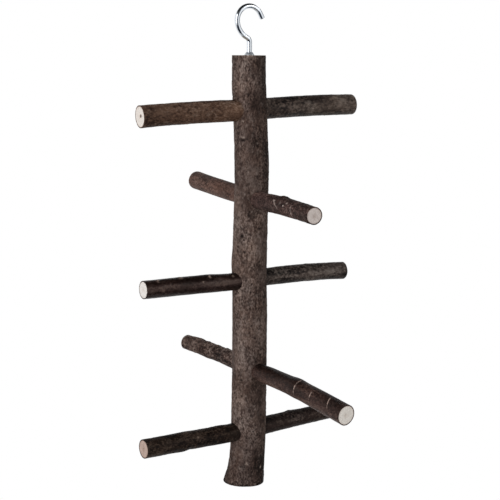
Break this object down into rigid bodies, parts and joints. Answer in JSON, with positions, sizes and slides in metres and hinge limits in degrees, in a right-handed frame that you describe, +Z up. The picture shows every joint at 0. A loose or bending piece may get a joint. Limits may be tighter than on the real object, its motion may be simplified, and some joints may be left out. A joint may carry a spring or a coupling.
{
  "type": "hanging bark-wood climbing perch",
  "caption": "Hanging climbing perch: an upright bark-covered trunk crossed by branch rungs at quarter turns, with a bright screw hook on top for hanging in a cage.",
  "frame": {"origin": "point on the underside of the hook's crown where the perch hangs from a bar", "axes": "+Z up along the hook's shank and the trunk, X along the hook's plane and the first, third and fifth rungs, Y along the second and fourth rungs"},
  "size_m": [0.1961, 0.2204, 0.3893],
  "materials": {
    "zinc_wire": "bright zinc-plated steel wire",
    "zinc_collar": "bright zinc-plated pressed steel",
    "sawn_wood": "raw, sawn across the grain",
    "trunk_bark": "rough dark grey-brown bark, matt",
    "rung_1_bark": "warm brown bark, matt",
    "rung_2_bark": "dark brown knotty bark, matt",
    "rung_3_bark": "smooth near-black bark, faint sheen",
    "rung_4_bark": "reddish dark brown bark with pale lenticels",
    "rung_5_bark": "near-black bark, matt"
  },
  "bodies": {
    "trunk": {"trunk_wood": "sawn_wood", "trunk_bark": "trunk_bark", "rung_1_wood": "sawn_wood", "rung_2_wood": "sawn_wood", "rung_3_wood": "sawn_wood", "rung_4_wood": "sawn_wood", "rung_5_wood": "sawn_wood", "rung_1_bark": "rung_1_bark", "rung_2_bark": "rung_2_bark", "rung_3_bark": "rung_3_bark", "rung_4_bark": "rung_4_bark", "rung_5_bark": "rung_5_bark"},
    "collar": {"hook_collar": "zinc_collar"},
    "hook": {"screw_hook": "zinc_wire"}
  },
  "joints": [
    {"name": "hook_rise", "type": "slide", "parent": "trunk", "child": "collar", "axis": [0, 0, 1], "range_m": [0, 0.0176]},
    {"name": "hook_turn", "type": "hinge", "parent": "collar", "child": "hook", "pos_m": [0, 0, -0.03527], "axis": [0, 0, 1], "range_deg": [0, 3510]}
  ],
  "couplings": [
    {"joint": "hook_rise", "follows": "hook_turn", "m_per_rad": 0.00028648}
  ]
}
